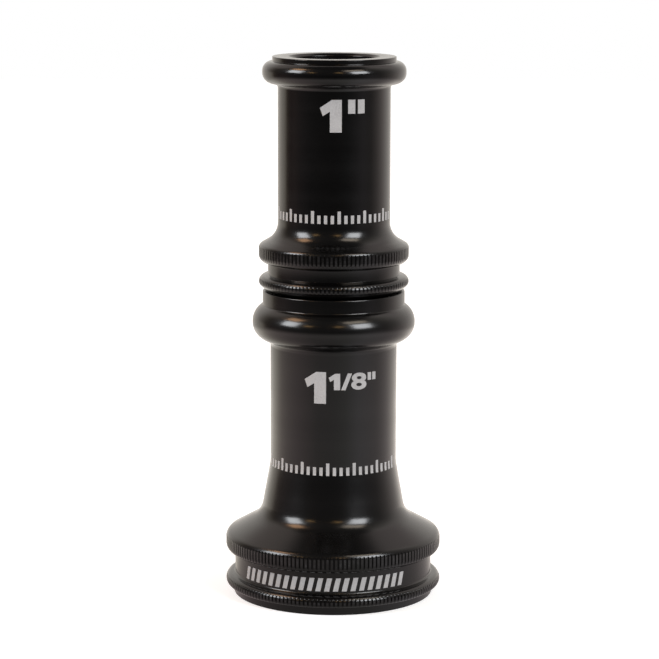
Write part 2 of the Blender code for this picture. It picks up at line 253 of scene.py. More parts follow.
def rounded_corner(before, corner, after, radius):
    """Arc of the given radius that rounds off a corner between two straight lines."""
    arms = []
    for point in (before, after):
        reach = math.dist(point, corner)
        arms.append(((point[0] - corner[0]) / reach, (point[1] - corner[1]) / reach))
    opening = math.acos(arms[0][0] * arms[1][0] + arms[0][1] * arms[1][1])
    back = radius / math.tan(opening / 2)
    middle = ((arms[0][0] + arms[1][0]) / 2, (arms[0][1] + arms[1][1]) / 2)
    scale = radius / math.sin(opening / 2) / math.hypot(*middle)
    centre = (corner[0] + middle[0] * scale, corner[1] + middle[1] * scale)
    start = (corner[0] + arms[0][0] * back, corner[1] + arms[0][1] * back)
    end = (corner[0] + arms[1][0] * back, corner[1] + arms[1][1] * back)
    start_angle = math.atan2(start[1] - centre[1], start[0] - centre[0])
    end_angle = math.atan2(end[1] - centre[1], end[0] - centre[0])
    sweep = math.remainder(end_angle - start_angle, 2 * math.pi)
    return arc(centre[0], centre[1], radius, start_angle, start_angle + sweep)


def divided(outline, longest, lowest, highest):
    """The outline with its long straight steps divided where they lie between two heights."""
    result = [outline[0]]
    for (r0, z0), (r1, z1) in zip(outline, outline[1:]):
        parts = 1
        if lowest <= min(z0, z1) and max(z0, z1) <= highest and abs(r1 - r0) > 0.1 * longest:
            parts = math.ceil(math.dist((r0, z0), (r1, z1)) / longest)
        for part in range(1, parts + 1):
            share = part / parts
            result.append((r0 + (r1 - r0) * share, z0 + (z1 - z0) * share))
    return result


def radius_at(outline, height):
    """Radius of an outline at a height."""
    for (r0, z0), (r1, z1) in zip(outline, outline[1:]):
        if z0 <= height <= z1 and z1 > z0:
            return r0 + (r1 - r0) * (height - z0) / (z1 - z0)
    return outline[-1][0]


def angles_round(teeth, phases):
    """Angles of one row of vertices, in step with the knurl's teeth."""
    return [2 * math.pi * (tooth + phase) / teeth for tooth in range(teeth) for phase in phases]


def circle(bm, radius, height, angles):
    """A row of vertices at one radius and height."""
    return [bm.verts.new((radius * math.cos(a), radius * math.sin(a), height)) for a in angles]


def skin(bm, first, second):
    """Faces between two rows of vertices, one of which may be several times finer."""
    if len(first) > len(second):
        first, second = second, first
    ratio = len(second) // len(first)
    for column, here in enumerate(first):
        after = first[(column + 1) % len(first)]
        rim = [second[(column * ratio + step) % len(second)] for step in range(ratio + 1)]
        if ratio == 1:
            bm.faces.new((here, after, rim[1], rim[0]))
            continue
        bm.faces.new((here, rim[1], rim[0]))
        bm.faces.new((here, after, rim[2], rim[1]))
        bm.faces.new((after, rim[3], rim[2]))


class Turning:
    """A turned body that is built up from outlines, all in step with one ring of knurl teeth."""

    def __init__(self, teeth, crown, depth):
        self.bm = bmesh.new()
        self.wear = self.bm.verts.layers.float.new("wear")
        self.crown = crown
        self.depth = depth
        self.plain = angles_round(teeth, PLAIN_PHASES)
        self.toothed = angles_round(teeth, TOOTH_PHASES)
        self.ends = []

    def row(self, radius, height, share):
        """One row of vertices; on a knurled ring the grooves are cut to a share of their depth."""
        if share is None or radius <= self.crown - self.depth:
            return circle(self.bm, radius, height, self.plain)
        result = []
        for column, angle in enumerate(self.toothed):
            depth = self.depth * share * TOOTH_DEPTHS[column % len(TOOTH_DEPTHS)]
            floor = self.crown - depth
            place = min(radius, floor)
            vert = self.bm.verts.new((place * math.cos(angle), place * math.sin(angle), height))
            vert[self.wear] = 1.0 if place > self.crown - 0.05 * self.depth else 0.0
            result.append(vert)
        return result

    def turn(self, outline, knurled=()):
        """Add a surface turned from an outline of (radius, height).

        The grooves of a knurled ring run out just below its highest point.
        """
        rows = []
        for radius, height in outline:
            share = None
            for lowest, highest in knurled:
                if lowest <= height <= highest:
                    share = min(1.0, (highest - height) / KNURL_RUNOUT)
            rows.append(self.row(radius, height, share))
        for first, second in zip(rows, rows[1:]):
            skin(self.bm, first, second)
        self.ends.append((rows[0], rows[-1]))

    def thread(self, groove, ridge, foot, turns, pitch, crest_flat, downwards=False):
        """Add a cylinder of radius `groove` with a helical ridge."""
        ends = threaded(self.bm, self.plain, groove, ridge, foot, turns, pitch, crest_flat)
        self.ends.append(ends[::-1] if downwards else ends)

    def closed(self):
        """Join every outline's end to the start of the next, all the way round."""
        for (_, end), (start, _) in zip(self.ends, self.ends[1:] + self.ends[:1]):
            skin(self.bm, end, start)
        bmesh.ops.recalc_face_normals(self.bm, faces=self.bm.faces)
        return self.bm


def flank_run(groove, ridge):
    """Axial length of one thread flank."""
    return abs(ridge - groove) * math.tan(FLANK_ANGLE)


def ridge_middle(groove, ridge, crest_flat):
    """Height of a ridge's middle above the point where its first flank starts."""
    return flank_run(groove, ridge) + crest_flat / 2


def fan(bm, apex, rim):
    """Triangles from one vertex to each step along a line of vertices."""
    for first, second in zip(rim, rim[1:]):
        bm.faces.new((apex, first, second))


def threaded(bm, angles, groove, ridge, foot, turns, pitch, crest_flat):
    """Cylinder of radius `groove` with a helical ridge; returns its bottom and top rows.

    Four rows of vertices follow the helix on each turn, so the rows of the last column meet the
    rows one turn further on in the first column. The ridge fades out at both ends.
    """
    columns = len(angles)
    flank = flank_run(groove, ridge)
    marks = (0.0, flank, flank + crest_flat, 2 * flank + crest_flat)
    rows = len(marks)

    def vertex(radius, height, column):
        angle = angles[column]
        return bm.verts.new((radius * math.cos(angle), radius * math.sin(angle), height))

    def helix_vertex(turn, mark, column):
        along = turn + (angles[column] - angles[0]) / (2 * math.pi)
        growth = max(0.0, min(1.0, along / THREAD_FADE, (turns - along) / THREAD_FADE))
        radius = groove + (ridge - groove) * growth if mark in (1, 2) else groove
        return vertex(radius, foot + pitch * along + marks[mark], column)

    first = [helix_vertex(turn, mark, 0) for turn in range(turns + 1) for mark in range(rows)]
    helix = [first]
    for column in range(1, columns):
        strip = [helix_vertex(turn, mark, column) for turn in range(turns) for mark in range(rows)]
        strip.append(helix_vertex(turns, 0, column))
        helix.append(strip)
    bottom = [first[0]] + [vertex(groove, foot, column) for column in range(1, columns)]
    top = [vertex(groove, foot + pitch * (turns + 1), column) for column in range(columns)]
    first.append(top[0])

    last = columns - 1
    for column in range(columns):
        here = helix[column]
        there = helix[(column + 1) % columns]
        shift = rows if column == last else 0
        for row in range(rows * turns):
            bm.faces.new((here[row], there[row + shift], there[row + shift + 1], here[row + 1]))

    bm.faces.new((bottom[0], bottom[1], helix[1][0]))
    for column in range(1, last):
        after = column + 1
        bm.faces.new((bottom[column], bottom[after], helix[after][0], helix[column][0]))
        bm.faces.new((helix[column][-1], helix[after][-1], top[after], top[column]))
    bm.faces.new((helix[last][-1], top[0], top[last]))
    fan(bm, bottom[last], first[:rows + 1] + [helix[last][0]])
    fan(bm, top[1], [helix[1][-1]] + first[rows * turns:])
    return bottom, top


def lower_tip_outside(bottom, shoulder, crown):
    """Outline of the lower tip from its bottom face up to the edge of its shoulder."""
    band_top = bottom + BASE_BAND_TOP
    band_edge = (crown, band_top)
    toe = (FLARE_TOE_RADIUS, bottom + FLARE_TOE_HEIGHT)
    foot_top = (BARREL_RADIUS, bottom + FOOT_TOP_HEIGHT)
    bulge_top = bottom + BULGE_TOP
    points = rounded_corner((0.0, bottom), (BASE_LIP, bottom), (BASE_LIP, band_top), BASE_LIP_ROUND)
    points += ring_rise(BASE_LIP, crown, bottom + BASE_RING_BOTTOM, BASE_RING_UNDER)
    points += ring_fall(BASE_WAIST, crown, bottom + BASE_RING_TOP, BASE_RING_OVER)
    points += ring_rise(BASE_WAIST, crown, bottom + BASE_BAND_BOTTOM, BASE_BAND_UNDER)
    points += rounded_corner((crown, bottom), band_edge, toe, FLARE_EDGE_ROUND)
    points += rounded_corner(band_edge, toe, foot_top, FLARE_COVE)
    points += rounded_corner(toe, foot_top, (BARREL_RADIUS, bulge_top), FOOT_BLEND)
    points += ring_rise(BARREL_RADIUS, BULGE_CROWN, bottom + BULGE_BOTTOM, BULGE_UNDER)
    points += ring_fall(SHOULDER_RADIUS, BULGE_CROWN, bulge_top, BULGE_OVER)
    edge = (SHOULDER_RADIUS, shoulder)
    points += rounded_corner((SHOULDER_RADIUS, bulge_top), edge, (0.0, shoulder), SHOULDER_ROUND)
    return points


def lower_tip_waterway(bottom, top):
    """Outline from the end of the spigot down through the waterway to the gasket recess."""
    seat = bottom + GASKET_RECESS_TOP
    throat = (THROAT_RADIUS, bottom + THROAT_HEIGHT)
    intake = (INTAKE_RADIUS, seat)
    points = [(SPIGOT_GROOVE - SPIGOT_END_CHAMFER, top)]
    points += rounded_corner((SPIGOT_GROOVE, top), (LOWER_ORIFICE, top),
                             (LOWER_ORIFICE, bottom), MOUTH_ROUND)
    points.append((LOWER_ORIFICE, bottom + LOWER_STRAIGHT_HEIGHT))
    points.append(throat)
    points += rounded_corner(throat, intake, (GASKET_RECESS_RADIUS, seat), INTAKE_ROUND)
    points.append((GASKET_RECESS_RADIUS, seat))
    points.append((GASKET_RECESS_RADIUS, bottom + GASKET_RECESS_BOTTOM))
    return points


def lower_tip_mesh(outside, bottom, shoulder, top, crown):
    """Base, flare, barrel, bulge and spigot of the lower tip as one turned body."""
    turning = Turning(BASE_TEETH, crown, BASE_TOOTH_DEPTH)
    ring = (bottom + BASE_LIP_ROUND, bottom + BASE_RING_KNURL_TOP)
    band = (bottom + BASE_BAND_BOTTOM / 2, bottom + BASE_BAND_KNURL_TOP)
    turning.turn(divided(outside, KNURL_ROW, ring[0], bottom + BASE_BAND_TOP), (ring, band))
    turning.thread(SPIGOT_GROOVE, SPIGOT_RIDGE, shoulder, SPIGOT_TURNS, JOINT_PITCH,
                   JOINT_CREST_FLAT)
    turning.turn(lower_tip_waterway(bottom, top))
    foot = bottom + GASKET_RECESS_BOTTOM - INLET_PITCH * (INLET_TURNS + 1)
    turning.thread(INLET_GROOVE, INLET_RIDGE, foot, INLET_TURNS, INLET_PITCH, INLET_CREST_FLAT,
                   downwards=True)
    turning.turn([(INLET_GROOVE, bottom + INLET_MOUTH_CHAMFER),
                  (INLET_GROOVE + INLET_MOUTH_CHAMFER, bottom)])
    return turning.closed()


def upper_tip_outside(bottom, top):
    """Outline of the upper tip from its bottom face up to its mouth."""
    band_top = bottom + TIP_BAND_TOP
    bead_top = bottom + BEAD_TOP
    foot = (TIP_FOOT, bottom)
    ring_corner = (TIP_CROWN, bottom + TIP_RING_CORNER)
    band_edge = (TIP_CROWN, band_top)
    toe = (TIP_BARREL_RADIUS, bottom + TIP_FLARE_TOE_HEIGHT)
    points = rounded_corner((0.0, bottom), foot, ring_corner, TIP_FOOT_ROUND)
    points += rounded_corner(foot, ring_corner, band_edge, TIP_RING_ROUND)
    points += ring_fall(TIP_WAIST, TIP_CROWN, bottom + TIP_RING_TOP, TIP_RING_OVER)
    points += ring_rise(TIP_WAIST, TIP_CROWN, bottom + TIP_BAND_BOTTOM, TIP_BAND_UNDER)
    points += rounded_corner((TIP_CROWN, bottom), band_edge, toe, TIP_BAND_ROUND)
    points += rounded_corner(band_edge, toe, (TIP_BARREL_RADIUS, bead_top), TIP_FLARE_COVE)
    points += ring_rise(TIP_BARREL_RADIUS, BEAD_CROWN, bottom + BEAD_BOTTOM, BEAD_UNDER)
    points += ring_fall(LIP_RADIUS, BEAD_CROWN, bead_top, BEAD_OVER)
    points += rounded_corner((LIP_RADIUS, bead_top), (LIP_RADIUS, top), (0.0, top), LIP_ROUND)
    return points


def upper_tip_waterway(bottom, top):
    """Outline from the mouth down through the waterway to the top of the socket's thread."""
    mouth = (UPPER_ORIFICE + MOUTH_CHAMFER, top)
    bore = (UPPER_ORIFICE, top - MOUTH_CHAMFER)
    points = rounded_corner((LIP_RADIUS, top), mouth, bore, MOUTH_ROUND)
    points += rounded_corner(mouth, bore, (UPPER_ORIFICE, bottom), MOUTH_ROUND)
    points.append((UPPER_ORIFICE, bottom + UPPER_STRAIGHT_HEIGHT))
    points.append((LOWER_ORIFICE, bottom + SOCKET_DEPTH))
    points.append((SOCKET_GROOVE, bottom + SOCKET_DEPTH))
    return points


def upper_tip_mesh(outside, bottom, top, shoulder):
    """Rings, barrel and bead of the upper tip as one turned body, open at both ends."""
    turning = Turning(TIP_TEETH, TIP_CROWN, TIP_TOOTH_DEPTH)
    ring = (bottom + TIP_FOOT_ROUND, bottom + TIP_RING_KNURL_TOP)
    band = (bottom + TIP_BAND_BOTTOM / 2, bottom + TIP_BAND_KNURL_TOP)
    turning.turn(divided(outside, KNURL_ROW, ring[0], bottom + TIP_BAND_TOP), (ring, band))
    turning.turn(upper_tip_waterway(bottom, top))
    spigot_middle = ridge_middle(SPIGOT_GROOVE, SPIGOT_RIDGE, JOINT_CREST_FLAT)
    socket_middle = ridge_middle(SOCKET_GROOVE, SOCKET_RIDGE, JOINT_CREST_FLAT)
    foot = shoulder + JOINT_PITCH / 2 + spigot_middle - socket_middle
    turning.thread(SOCKET_GROOVE, SOCKET_RIDGE, foot, SOCKET_TURNS, JOINT_PITCH,
                   JOINT_CREST_FLAT, downwards=True)
    turning.turn([(SOCKET_GROOVE, bottom + SOCKET_MOUTH_CHAMFER),
                  (SOCKET_GROOVE + SOCKET_MOUTH_CHAMFER, bottom)])
    return turning.closed()


def gasket_mesh(inner, outer, bottom, top):
    """Flat rubber washer with rounded edges."""
    bm = bmesh.new()
    angles = [2 * math.pi * column / GASKET_COLUMNS for column in range(GASKET_COLUMNS)]
    corners = [(inner, bottom), (outer, bottom), (outer, top), (inner, top)]
    outline = []
    for place, corner in enumerate(corners):
        outline += rounded_corner(corners[place - 1], corner, corners[(place + 1) % 4], GASKET_EDGE)
    rows = [circle(bm, radius, height, angles) for radius, height in outline]
    for first, second in zip(rows, rows[1:] + rows[:1]):
        skin(bm, first, second)
    bmesh.ops.recalc_face_normals(bm, faces=bm.faces)
    return bm


def piece(name, bm, finish):
    """Make an object from a mesh, smooth except at real edges."""
    mesh = bpy.data.meshes.new(name)
    bm.to_mesh(mesh)
    bm.free()
    mesh.shade_smooth()
    mesh.set_sharp_from_angle(angle=SHARP_ANGLE)
    mesh.materials.append(finish)
    result = bpy.data.objects.new(name, mesh)
    bpy.context.scene.collection.objects.link(result)
    return result


# Printed marks are first drawn flat, with x along the surface and y up, then wrapped round.


def add_polygon(bm, corners):
    """One flat printed shape."""
    bm.faces.new([bm.verts.new((x, y, 0.0)) for x, y in corners])


def add_figures(bm, text, left, right, low, high, weight):
    """Figures in Blender's own font, thickened, fitted into a box of the flat drawing."""
    curve = bpy.data.curves.new("figures", "FONT")
    curve.body = text
    curve.offset = weight
    curve.resolution_u = 6
    holder = bpy.data.objects.new("figures", curve)
    bpy.context.scene.collection.objects.link(holder)
    bpy.context.view_layer.update()
    evaluated = holder.evaluated_get(bpy.context.evaluated_depsgraph_get())
    mesh = bpy.data.meshes.new_from_object(evaluated)
    xs = [vert.co.x for vert in mesh.vertices]
    ys = [vert.co.y for vert in mesh.vertices]
    spread_x = (right - left) / (max(xs) - min(xs))
    spread_y = (high - low) / (max(ys) - min(ys))
    for vert in mesh.vertices:
        vert.co.x = left + (vert.co.x - min(xs)) * spread_x
        vert.co.y = low + (vert.co.y - min(ys)) * spread_y
    bm.from_mesh(mesh)
    bpy.data.objects.remove(holder)
    bpy.data.meshes.remove(mesh)
    bpy.data.curves.remove(curve)


def cut_apart(bm, direction):
    """Cut a flat drawing into strips across one direction."""
    places = [vert.co.dot(direction) for vert in bm.verts]
    first = math.ceil(min(places) / PRINT_STRIP)
    last = math.floor(max(places) / PRINT_STRIP)
    for step in range(first, last + 1):
        geometry = bm.verts[:] + bm.edges[:] + bm.faces[:]
        bmesh.ops.bisect_plane(bm, geom=geometry, plane_co=direction * step * PRINT_STRIP,
                               plane_no=direction)


def wrapped(bm, outline, reference):
    """Lay a flat drawing on a turned surface as a thin raised print.

    x is the arc length at the reference radius, y the height on the object.
    """
    bmesh.ops.remove_doubles(bm, verts=bm.verts, dist=PRINT_WELD)
    cut_apart(bm, Vector((1.0, 0.0, 0.0)))
    cut_apart(bm, Vector((0.0, 1.0, 0.0)))
    flat = bm.faces[:]
    raised = bmesh.ops.extrude_face_region(bm, geom=flat, use_keep_orig=True)["geom"]
    top = {item for item in raised if isinstance(item, bmesh.types.BMVert)}
    for vert in bm.verts:
        angle = vert.co.x / reference
        height = vert.co.y
        lift = PRINT_LIFT if vert in top else -PRINT_ROOT
        radius = radius_at(outline, height) + lift
        vert.co = (radius * math.sin(angle), -radius * math.cos(angle), height)
    bmesh.ops.recalc_face_normals(bm, faces=bm.faces)
    return bm


def add_bar(bm, left, right, low, high, slant=0.0):
    """A bar, upright or leaning over to the right."""
    add_polygon(bm, [(left, low), (right, low), (right + slant, high), (left + slant, high)])


def add_one(bm, left, right, low, high):
    """A plain block figure 1: an upright stem with a straight flag."""
    width, height = right - left, high - low
    stem = left + 0.46 * width
    add_polygon(bm, [(stem, low), (right, low), (right, high), (stem + 0.10 * width, high),
                     (left, high - 0.25 * height), (left + 0.14 * width, high - 0.50 * height),
                     (stem, high - 0.36 * height)])


def add_inch_sign(bm, left, right, low, high):
    """Two short upright strokes."""
    stroke = 0.42 * (right - left)
    add_bar(bm, left, left + stroke, low, high)
    add_bar(bm, right - stroke, right, low, high)


def add_scale(bm, start, end, low):
    """A plain printed scale: upright strokes, every so many of them a long one."""
    count = round((end - start) / STROKE_PITCH)
    for stroke in range(count + 1):
        left = start + stroke * STROKE_PITCH - STROKE_WIDTH / 2
        height = LONG_STROKE if stroke % STROKES_IN_GROUP == 0 else SHORT_STROKE
        add_bar(bm, left, left + STROKE_WIDTH, low, low + height)


# Materials.


class Shader:
    """Small helper that adds nodes to one material and wires them up."""

    def __init__(self, name):
        self.material = bpy.data.materials.new(name)
        self.material.use_nodes = True
        self.nodes = self.material.node_tree.nodes
        self.links = self.material.node_tree.links
        self.surface = self.nodes["Principled BSDF"]

    def wire(self, socket, value):
        """Feed a socket from another socket or with a plain value."""
        if isinstance(value, bpy.types.NodeSocket):
            self.links.new(value, socket)
        else:
            socket.default_value = value

    def math(self, operation, first, second=0.0, third=0.0):
        """A math node on up to three sockets or numbers."""
        node = self.nodes.new("ShaderNodeMath")
        node.operation = operation
        for socket, value in zip(node.inputs, (first, second, third)):
            self.wire(socket, value)
        return node.outputs[0]

    def place(self):
        """Position on the object, which stays put when the piece moves."""
        return self.nodes.new("ShaderNodeTexCoord").outputs["Object"]

    def along_outline(self, place):
        """Radius plus height: constant round the axis, changing along every outline."""
        parts = self.nodes.new("ShaderNodeSeparateXYZ")
        self.links.new(place, parts.inputs[0])
        square_x = self.math("MULTIPLY", parts.outputs[0], parts.outputs[0])
        square = self.math("MULTIPLY_ADD", parts.outputs[1], parts.outputs[1], square_x)
        return self.math("ADD", self.math("SQRT", square), parts.outputs[2])

    def rings(self, along, scale, detail):
        """Noise that changes only along the outline, like the marks of a turning tool."""
        node = self.nodes.new("ShaderNodeTexNoise")
        node.noise_dimensions = "1D"
        self.links.new(along, node.inputs["W"])
        node.inputs["Scale"].default_value = scale
        node.inputs["Detail"].default_value = detail
        return node.outputs[0]

    def noise(self, place, scale, detail, roughness=0.5):
        """Noise in space."""
        node = self.nodes.new("ShaderNodeTexNoise")
        self.links.new(place, node.inputs["Vector"])
        node.inputs["Scale"].default_value = scale
        node.inputs["Detail"].default_value = detail
        node.inputs["Roughness"].default_value = roughness
        return node.outputs[0]

    def remap(self, value, low, high, new_low, new_high):
        """Stretch a range of values to another one and stop at its ends."""
        node = self.nodes.new("ShaderNodeMapRange")
        self.wire(node.inputs["Value"], value)
        for name, number in zip(("From Min", "From Max", "To Min", "To Max"),
                                (low, high, new_low, new_high)):
            node.inputs[name].default_value = number
        return node.outputs[0]

    def mix(self, factor, first, second, blend="MIX"):
        """Two colours mixed."""
        node = self.nodes.new("ShaderNodeMix")
        node.data_type = "RGBA"
        node.blend_type = blend
        self.wire(node.inputs[0], factor)
        self.wire(node.inputs[6], first)
        self.wire(node.inputs[7], second)
        return node.outputs[2]

    def attribute(self, name):
        """A value that is stored on the mesh."""
        node = self.nodes.new("ShaderNodeAttribute")
        node.attribute_name = name
        return node.outputs["Fac"]

    def bump(self, height, strength, distance, normal=None):
        """Surface normal bent by a height, on top of an earlier one if there is one."""
        node = self.nodes.new("ShaderNodeBump")
        node.inputs["Strength"].default_value = strength
        node.inputs["Distance"].default_value = distance
        self.links.new(height, node.inputs["Height"])
        if normal is not None:
            self.links.new(normal, node.inputs["Normal"])
        return node.outputs[0]


def anodised(name, film, roughness):
    """Black anodised aluminium, turned: tool marks round it, faint blotches, rubbed knurl crests."""
    shader = Shader(name)
    place = shader.place()
    along = shader.along_outline(place)
    tool = shader.rings(along, TOOL_MARKS, 3.0)
    bands = shader.rings(along, TURNED_BANDS, 2.0)
    blotches = shader.noise(place, FILM_BLOTCHES, 4.0, 0.6)
    grain = shader.noise(place, FILM_GRAIN, 2.0)
    scuffs = shader.noise(place, FILM_SCUFFS, 5.0, 0.7)

    crest = shader.attribute("wear")
    rubbed = shader.math("MULTIPLY", crest, shader.remap(scuffs, 0.45, 0.75, 0.0, 1.0))
    dark = (*[channel * 0.75 for channel in film], 1.0)
    light = (*[channel * 1.3 for channel in film], 1.0)
    colour = shader.mix(rubbed, shader.mix(blotches, dark, light), (*RUBBED_METAL, 1.0))
    shader.wire(shader.surface.inputs["Base Color"], colour)

    rough = shader.remap(bands, 0.3, 0.7, roughness * 0.9, roughness * 1.1)
    rough = shader.math("ADD", rough, shader.remap(blotches, 0.35, 0.65, -0.012, 0.02))
    rough = shader.math("ADD", rough, shader.math("MULTIPLY", rubbed, 0.12))
    shader.wire(shader.surface.inputs["Roughness"], rough)
    shader.surface.inputs["IOR"].default_value = FILM_REFRACTION

    normal = shader.bump(tool, 0.10, 0.010 * MM)
    normal = shader.bump(grain, 0.10, 0.006 * MM, normal)
    shader.wire(shader.surface.inputs["Normal"], normal)
    return shader.material


def rubber(name, tone):
    """Moulded black rubber: dull, with a fine grain and pale bloom in patches."""
    shader = Shader(name)
    place = shader.place()
    bloom = shader.noise(place, RUBBER_BLOOM, 4.0, 0.6)
    grain = shader.noise(place, RUBBER_GRAIN, 3.0)
    dark = (tone, tone, tone * 1.03, 1.0)
    pale = (tone * 2.2, tone * 2.2, tone * 2.15, 1.0)
    shader.wire(shader.surface.inputs["Base Color"],
                shader.mix(shader.remap(bloom, 0.45, 0.75, 0.0, 1.0), dark, pale))
    shader.wire(shader.surface.inputs["Roughness"], shader.remap(grain, 0.3, 0.7, 0.62, 0.82))
    shader.wire(shader.surface.inputs["Normal"], shader.bump(grain, 0.5, 0.03 * MM))
    return shader.material


def print_grey():
    """Light grey etched print: matte, with small gaps where the etching is thinner."""
    shader = Shader("print_grey")
    place = shader.place()
    speckle = shader.noise(place, PRINT_SPECKLE, 3.0)
    patches = shader.noise(place, PRINT_PATCHES, 2.0)
    full = (PRINT_TONE, PRINT_TONE, PRINT_TONE * 1.01, 1.0)
    thin = (PRINT_TONE * 0.80, PRINT_TONE * 0.80, PRINT_TONE * 0.81, 1.0)
    share = shader.math("MULTIPLY", shader.remap(speckle, 0.35, 0.65, 0.0, 1.0),
                        shader.remap(patches, 0.35, 0.65, 0.3, 1.0))
    shader.wire(shader.surface.inputs["Base Color"], shader.mix(share, full, thin))
    shader.wire(shader.surface.inputs["Roughness"], shader.remap(speckle, 0.3, 0.7, 0.55, 0.75))
    shader.wire(shader.surface.inputs["Normal"], shader.bump(speckle, 0.3, 0.01 * MM))
    return shader.material


# Stage: camera, lights, surroundings and floor.

CAMERA_DISTANCE = 0.7817
CAMERA_PITCH = math.radians(9.697)
CAMERA_ROLL = math.radians(0.17)
CAMERA_LENS = 145.2
CAMERA_SENSOR = 36.0
CAMERA_SHIFT = -0.00625
CAMERA_AIM_DROP = 0.8 * MM


def add_camera(aim_height):
    """Long lens, looking a little down at the front of the object."""
    data = bpy.data.cameras.new("camera")
    data.lens = CAMERA_LENS
    data.sensor_width = CAMERA_SENSOR
    data.shift_x = CAMERA_SHIFT
    data.clip_start = 0.01
    camera = bpy.data.objects.new("camera", data)
    bpy.context.scene.collection.objects.link(camera)
    away = Vector((0.0, -math.cos(CAMERA_PITCH), math.sin(CAMERA_PITCH))) * CAMERA_DISTANCE
    tilt = Matrix.Rotation(math.pi / 2 - CAMERA_PITCH, 4, "X")
    roll = Matrix.Rotation(CAMERA_ROLL, 4, "Z")
    camera.matrix_world = Matrix.Translation(away + Vector((0.0, 0.0, aim_height))) @ tilt @ roll
    bpy.context.scene.camera = camera


# Soft lights: azimuth and elevation in degrees, width, height, power and colour.
LIGHT_DISTANCE = 5.0
LIGHTS = (
    ("soft_box_left", -69.5, 28, 2.00, 2.05, 132.0, (0.95, 0.97, 1.0)),
    ("soft_box_right", 43.5, 28, 2.20, 2.10, 152.0, (0.95, 0.97, 1.0)),
    ("warm_lamp_left", -79, 50, 1.60, 1.20, 37.0, (1.0, 0.58, 0.32)),
    ("warm_lamp_right", 42, 52, 2.30, 1.10, 32.0, (1.0, 0.86, 0.70)),
    ("dim_lamp_left", -39, 27, 0.80, 0.60, 5.5, (1.0, 0.60, 0.22)),
    ("dim_lamp_right", 8.5, 30, 0.90, 0.60, 6.0, (1.0, 0.60, 0.22)),
)


def add_light(name, azimuth, elevation, width, height, power, colour, target):
    """Rectangular soft light that faces the object."""
    data = bpy.data.lights.new(name, "AREA")
    data.shape = "RECTANGLE"
    data.size = width
    data.size_y = height
    data.energy = power
    data.color = colour
    light = bpy.data.objects.new(name, data)
    bpy.context.scene.collection.objects.link(light)
    side, rise = math.radians(azimuth), math.radians(elevation)
    direction = Vector((math.sin(side) * math.cos(rise), -math.cos(side) * math.cos(rise),
                        math.sin(rise)))
    light.location = target + direction * LIGHT_DISTANCE
    light.rotation_euler = direction.to_track_quat("Z", "Y").to_euler()
    light.visible_camera = False


# Brightness of the room as (azimuth in degrees, red, green, blue), at five elevations.
ROOM_LEVEL = (
    (-180, 1.00, 0.94, 0.86), (-124, 0.95, 0.87, 0.76), (-117, 0.80, 0.70, 0.58),
    (-113, 0.22, 0.17, 0.13), (-100, 0.14, 0.10, 0.10), (-88, 0.20, 0.15, 0.14),
    (-72, 0.12, 0.10, 0.10), (-50, 0.06, 0.06, 0.06), (0, 0.035, 0.035, 0.035),
    (30, 0.05, 0.05, 0.05), (46, 0.13, 0.12, 0.12), (60, 0.24, 0.22, 0.23),
    (80, 0.22, 0.20, 0.19), (96, 0.46, 0.40, 0.38), (118, 0.88, 0.78, 0.73),
    (130, 1.00, 0.93, 0.87), (180, 1.00, 0.94, 0.86),
)
ROOM_ABOVE = (
    (-180, 0.96, 0.92, 0.86), (-140, 1.00, 0.93, 0.86), (-126, 0.60, 0.53, 0.46),
    (-112, 0.20, 0.16, 0.13), (-90, 0.16, 0.14, 0.14), (-50, 0.09, 0.085, 0.085),
    (0, 0.08, 0.08, 0.08), (50, 0.09, 0.085, 0.085), (80, 0.22, 0.20, 0.19),
    (100, 0.50, 0.46, 0.43), (118, 0.88, 0.81, 0.76), (140, 1.00, 0.93, 0.87),
    (180, 0.96, 0.92, 0.86),
)
ROOM_HIGH = (
    (-180, 0.50, 0.45, 0.42), (-145, 0.62, 0.53, 0.49), (-122, 0.80, 0.71, 0.65),
    (-104, 0.42, 0.37, 0.34), (-80, 0.16, 0.15, 0.14), (0, 0.08, 0.08, 0.08),
    (60, 0.10, 0.10, 0.09), (80, 0.30, 0.28, 0.26), (104, 0.68, 0.63, 0.58),
    (122, 0.92, 0.83, 0.79), (145, 0.62, 0.54, 0.52), (180, 0.50, 0.45, 0.42),
)
ROOM_ZENITH = (
    (-180, 0.06, 0.06, 0.06), (-140, 0.07, 0.07, 0.07), (-100, 0.08, 0.08, 0.08),
    (0, 0.07, 0.07, 0.07), (100, 0.08, 0.08, 0.08), (140, 0.07, 0.07, 0.07),
    (180, 0.06, 0.06, 0.06),
)
ROOM_BELOW = (
    (-180, 0.90, 0.85, 0.80), (-90, 0.75, 0.70, 0.66), (0, 0.60, 0.56, 0.54),
    (90, 0.75, 0.70, 0.66), (180, 0.90, 0.85, 0.80),
)

# Painted light on the table round the object, seen only in reflections, and how it changes with the
# distance from the axis:
# it grows up to the first range's end, falls back in the second and fades out in the third. The
# lower glow close to the axis is painted shade from the object, the rise and fall a painted pool of
# light.
PAINTED_TABLE_LIGHT = (
    (-180, 1.00, 0.94, 0.86), (-150, 0.90, 0.85, 0.78), (-128, 1.00, 0.92, 0.80),
    (-108, 0.76, 0.66, 0.60), (-70, 0.58, 0.48, 0.47), (-48, 0.46, 0.39, 0.38),
    (-28, 0.34, 0.31, 0.30), (0, 0.33, 0.31, 0.30), (20, 0.38, 0.37, 0.35),
    (45, 0.55, 0.52, 0.53), (85, 0.55, 0.49, 0.48), (108, 0.72, 0.64, 0.62),
    (130, 0.98, 0.89, 0.82), (180, 1.00, 0.94, 0.86),
)
PAINTED_POOL_GAIN = 1.6
TABLE_RISE = (0.05, 0.21)
TABLE_FALL = (0.28, 0.42)
TABLE_FADE = (0.31, 0.80)

FLOOR_HALF = 2.0
FLOOR_GAP = 0.05 * MM
FLOOR_WHITE = (0.8, 0.8, 0.8, 1.0)
FLOOR_GLOW = (0.58, 0.58, 0.58, 1.0)
BLACK = (0.0, 0.0, 0.0, 1.0)
WHITE = (1.0, 1.0, 1.0, 1.0)


